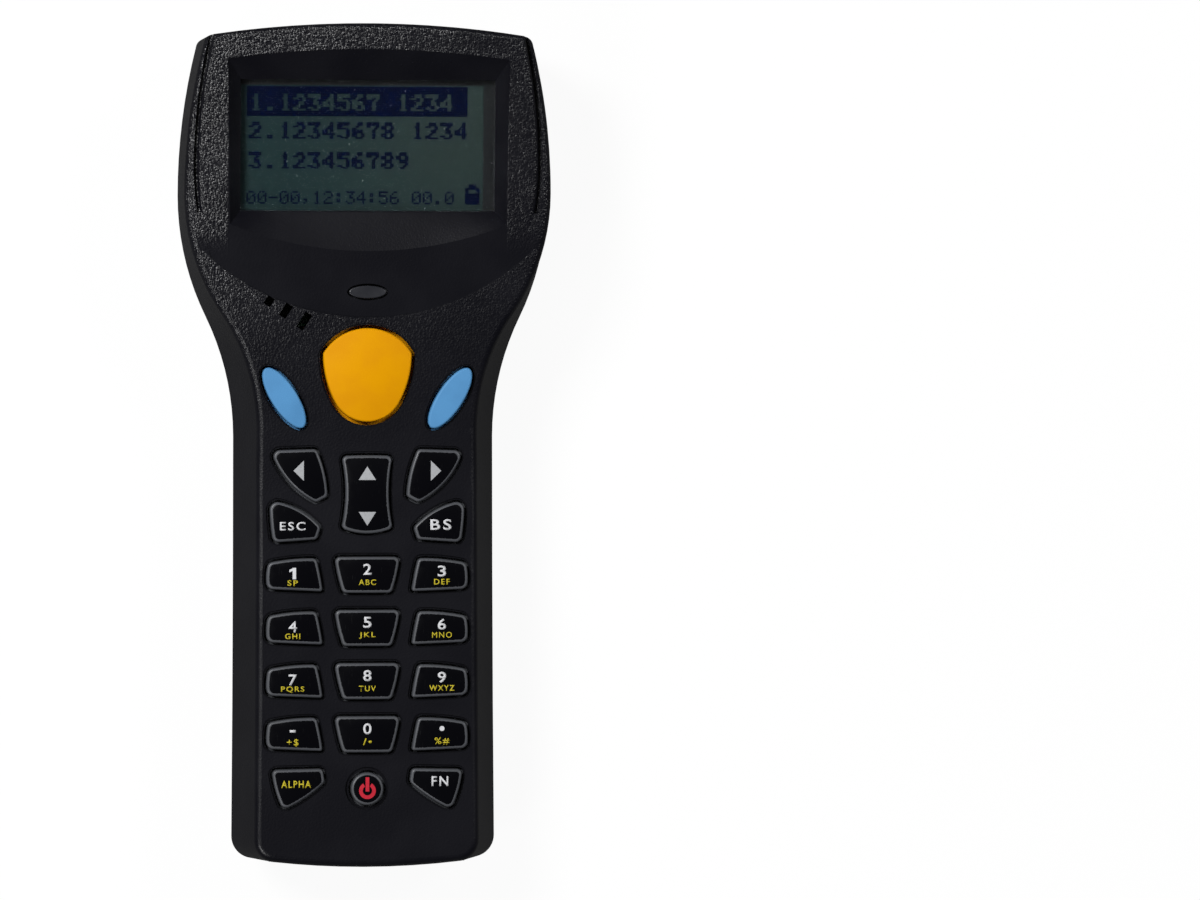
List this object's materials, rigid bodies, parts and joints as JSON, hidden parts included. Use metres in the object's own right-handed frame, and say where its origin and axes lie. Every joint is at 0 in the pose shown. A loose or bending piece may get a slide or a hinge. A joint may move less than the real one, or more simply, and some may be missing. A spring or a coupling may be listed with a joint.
{
  "type": "handheld barcode data terminal",
  "caption": "Bar-shaped handheld data terminal: wide head with sloped display and scan window, narrow grip with keypad, sliding battery cover, hinged port flap.",
  "frame": {"origin": "middle of the flat back, on which the terminal lies", "axes": "+X to the right of the keypad, +Y to the head, +Z out of the key face"},
  "size_m": [0.0756, 0.171, 0.0356],
  "materials": {
    "case": "fine grain",
    "key_black": "glossy",
    "key_yellow": "satin",
    "key_blue": "satin",
    "flap_rubber": "matt",
    "seal_rubber": "matt",
    "mat_rubber": "matt",
    "window": "clear",
    "display_glass": "smoked",
    "scan_glass": "dark red",
    "infrared_filter": "glossy",
    "lens": "frosted",
    "backlight": "satin",
    "frame_plastic": "satin",
    "port_plastic": "satin",
    "pack": "satin",
    "board": "satin",
    "chip": "satin",
    "cable_film": "satin",
    "steel": "brushed",
    "chassis_metal": "cast",
    "insert_brass": "turned",
    "contact_metal": "plated",
    "mirror": "polished"
  },
  "bodies": {
    "terminal": {"front_case": "case", "rear_case": "case", "case_seal": "seal_rubber", "case_screws": "steel", "screw_inserts": "insert_brass", "board_screws": "steel", "battery_pack": "pack", "battery_contacts": "contact_metal", "dc_jack": "port_plastic", "io_connector": "port_plastic", "flap_pin": "steel", "ir_window": "infrared_filter", "scan_window": "scan_glass", "scan_chassis": "chassis_metal", "laser_barrel": "insert_brass", "mirror_pin": "steel", "light_sensor": "chip", "lcd_window": "window", "lcd_glass": "display_glass", "lcd_backlight": "backlight", "lcd_holder": "frame_plastic", "flat_cables": "cable_film", "indicator_lens": "lens", "beeper": "chip", "main_board": "board", "board_chips": "chip", "shield_can": "steel", "keypad_mat": "mat_rubber", "snap_domes": "contact_metal", "coin_cell": "steel", "vibration_motor": "steel"},
    "alpha_key_body": {"alpha_key": "key_black"},
    "backspace_key_body": {"backspace_key": "key_black"},
    "battery_cover_body": {"battery_cover": "case"},
    "enter_key_left_body": {"enter_key_left": "key_blue"},
    "enter_key_right_body": {"enter_key_right": "key_blue"},
    "escape_key_body": {"escape_key": "key_black"},
    "function_key_body": {"function_key": "key_black"},
    "key_0_body": {"key_0": "key_black"},
    "key_1_body": {"key_1": "key_black"},
    "key_2_body": {"key_2": "key_black"},
    "key_3_body": {"key_3": "key_black"},
    "key_4_body": {"key_4": "key_black"},
    "key_5_body": {"key_5": "key_black"},
    "key_6_body": {"key_6": "key_black"},
    "key_7_body": {"key_7": "key_black"},
    "key_8_body": {"key_8": "key_black"},
    "key_9_body": {"key_9": "key_black"},
    "key_minus_body": {"key_minus": "key_black"},
    "key_point_body": {"key_point": "key_black"},
    "left_key_body": {"left_key": "key_black"},
    "motor_weight_body": {"motor_weight": "insert_brass"},
    "port_flap_body": {"port_flap": "flap_rubber"},
    "power_key_body": {"power_key": "key_black"},
    "right_key_body": {"right_key": "key_black"},
    "scan_key_body": {"scan_key": "key_yellow"},
    "scan_mirror_body": {"scan_mirror": "mirror"},
    "up_down_key_body": {"up_down_key": "key_black"}
  },
  "joints": [
    {"name": "battery_cover_slide", "type": "slide", "parent": "terminal", "child": "battery_cover_body", "axis": [0, -1, 0], "range_m": [0, 0.084]},
    {"name": "port_flap_hinge", "type": "hinge", "parent": "terminal", "child": "port_flap_body", "pos_m": [0, -0.08413, 0.012], "axis": [-1, 0, 0], "range_deg": [0, 90]},
    {"name": "up_down_key_rock", "type": "hinge", "parent": "terminal", "child": "up_down_key_body", "pos_m": [0, -0.0098, 0.024], "axis": [1, 0, 0], "range_deg": [-3.5, 3.5], "stiffness_Nm_per_rad": 0.15},
    {"name": "scan_mirror_sweep", "type": "hinge", "parent": "terminal", "child": "scan_mirror_body", "pos_m": [0.003, 0.066, 0.0086], "axis": [0, 0, 1], "range_deg": [-10, 10]},
    {"name": "motor_weight_spin", "type": "hinge", "parent": "terminal", "child": "motor_weight_body", "pos_m": [0.014, 0.026, 0.0074], "axis": [0, 1, 0], "continuous": true},
    {"name": "scan_key_press", "type": "slide", "parent": "terminal", "child": "scan_key_body", "axis": [0, 0, -1], "range_m": [0, 0.0009], "stiffness_N_per_m": 1200},
    {"name": "power_key_press", "type": "slide", "parent": "terminal", "child": "power_key_body", "axis": [0, 0, -1], "range_m": [0, 0.0009], "stiffness_N_per_m": 1200},
    {"name": "enter_key_left_press", "type": "slide", "parent": "terminal", "child": "enter_key_left_body", "axis": [0, 0, -1], "range_m": [0, 0.0009], "stiffness_N_per_m": 1200},
    {"name": "enter_key_right_press", "type": "slide", "parent": "terminal", "child": "enter_key_right_body", "axis": [0, 0, -1], "range_m": [0, 0.0009], "stiffness_N_per_m": 1200},
    {"name": "left_key_press", "type": "slide", "parent": "terminal", "child": "left_key_body", "axis": [0, 0, -1], "range_m": [0, 0.0009], "stiffness_N_per_m": 1200},
    {"name": "right_key_press", "type": "slide", "parent": "terminal", "child": "right_key_body", "axis": [0, 0, -1], "range_m": [0, 0.0009], "stiffness_N_per_m": 1200},
    {"name": "escape_key_press", "type": "slide", "parent": "terminal", "child": "escape_key_body", "axis": [0, 0, -1], "range_m": [0, 0.0009], "stiffness_N_per_m": 1200},
    {"name": "backspace_key_press", "type": "slide", "parent": "terminal", "child": "backspace_key_body", "axis": [0, 0, -1], "range_m": [0, 0.0009], "stiffness_N_per_m": 1200},
    {"name": "alpha_key_press", "type": "slide", "parent": "terminal", "child": "alpha_key_body", "axis": [0, 0, -1], "range_m": [0, 0.0009], "stiffness_N_per_m": 1200},
    {"name": "function_key_press", "type": "slide", "parent": "terminal", "child": "function_key_body", "axis": [0, 0, -1], "range_m": [0, 0.0009], "stiffness_N_per_m": 1200},
    {"name": "key_1_press", "type": "slide", "parent": "terminal", "child": "key_1_body", "axis": [0, 0, -1], "range_m": [0, 0.0009], "stiffness_N_per_m": 1200},
    {"name": "key_2_press", "type": "slide", "parent": "terminal", "child": "key_2_body", "axis": [0, 0, -1], "range_m": [0, 0.0009], "stiffness_N_per_m": 1200},
    {"name": "key_3_press", "type": "slide", "parent": "terminal", "child": "key_3_body", "axis": [0, 0, -1], "range_m": [0, 0.0009], "stiffness_N_per_m": 1200},
    {"name": "key_4_press", "type": "slide", "parent": "terminal", "child": "key_4_body", "axis": [0, 0, -1], "range_m": [0, 0.0009], "stiffness_N_per_m": 1200},
    {"name": "key_5_press", "type": "slide", "parent": "terminal", "child": "key_5_body", "axis": [0, 0, -1], "range_m": [0, 0.0009], "stiffness_N_per_m": 1200},
    {"name": "key_6_press", "type": "slide", "parent": "terminal", "child": "key_6_body", "axis": [0, 0, -1], "range_m": [0, 0.0009], "stiffness_N_per_m": 1200},
    {"name": "key_7_press", "type": "slide", "parent": "terminal", "child": "key_7_body", "axis": [0, 0, -1], "range_m": [0, 0.0009], "stiffness_N_per_m": 1200},
    {"name": "key_8_press", "type": "slide", "parent": "terminal", "child": "key_8_body", "axis": [0, 0, -1], "range_m": [0, 0.0009], "stiffness_N_per_m": 1200},
    {"name": "key_9_press", "type": "slide", "parent": "terminal", "child": "key_9_body", "axis": [0, 0, -1], "range_m": [0, 0.0009], "stiffness_N_per_m": 1200},
    {"name": "key_0_press", "type": "slide", "parent": "terminal", "child": "key_0_body", "axis": [0, 0, -1], "range_m": [0, 0.0009], "stiffness_N_per_m": 1200},
    {"name": "key_minus_press", "type": "slide", "parent": "terminal", "child": "key_minus_body", "axis": [0, 0, -1], "range_m": [0, 0.0009], "stiffness_N_per_m": 1200},
    {"name": "key_point_press", "type": "slide", "parent": "terminal", "child": "key_point_body", "axis": [0, 0, -1], "range_m": [0, 0.0009], "stiffness_N_per_m": 1200}
  ]
}
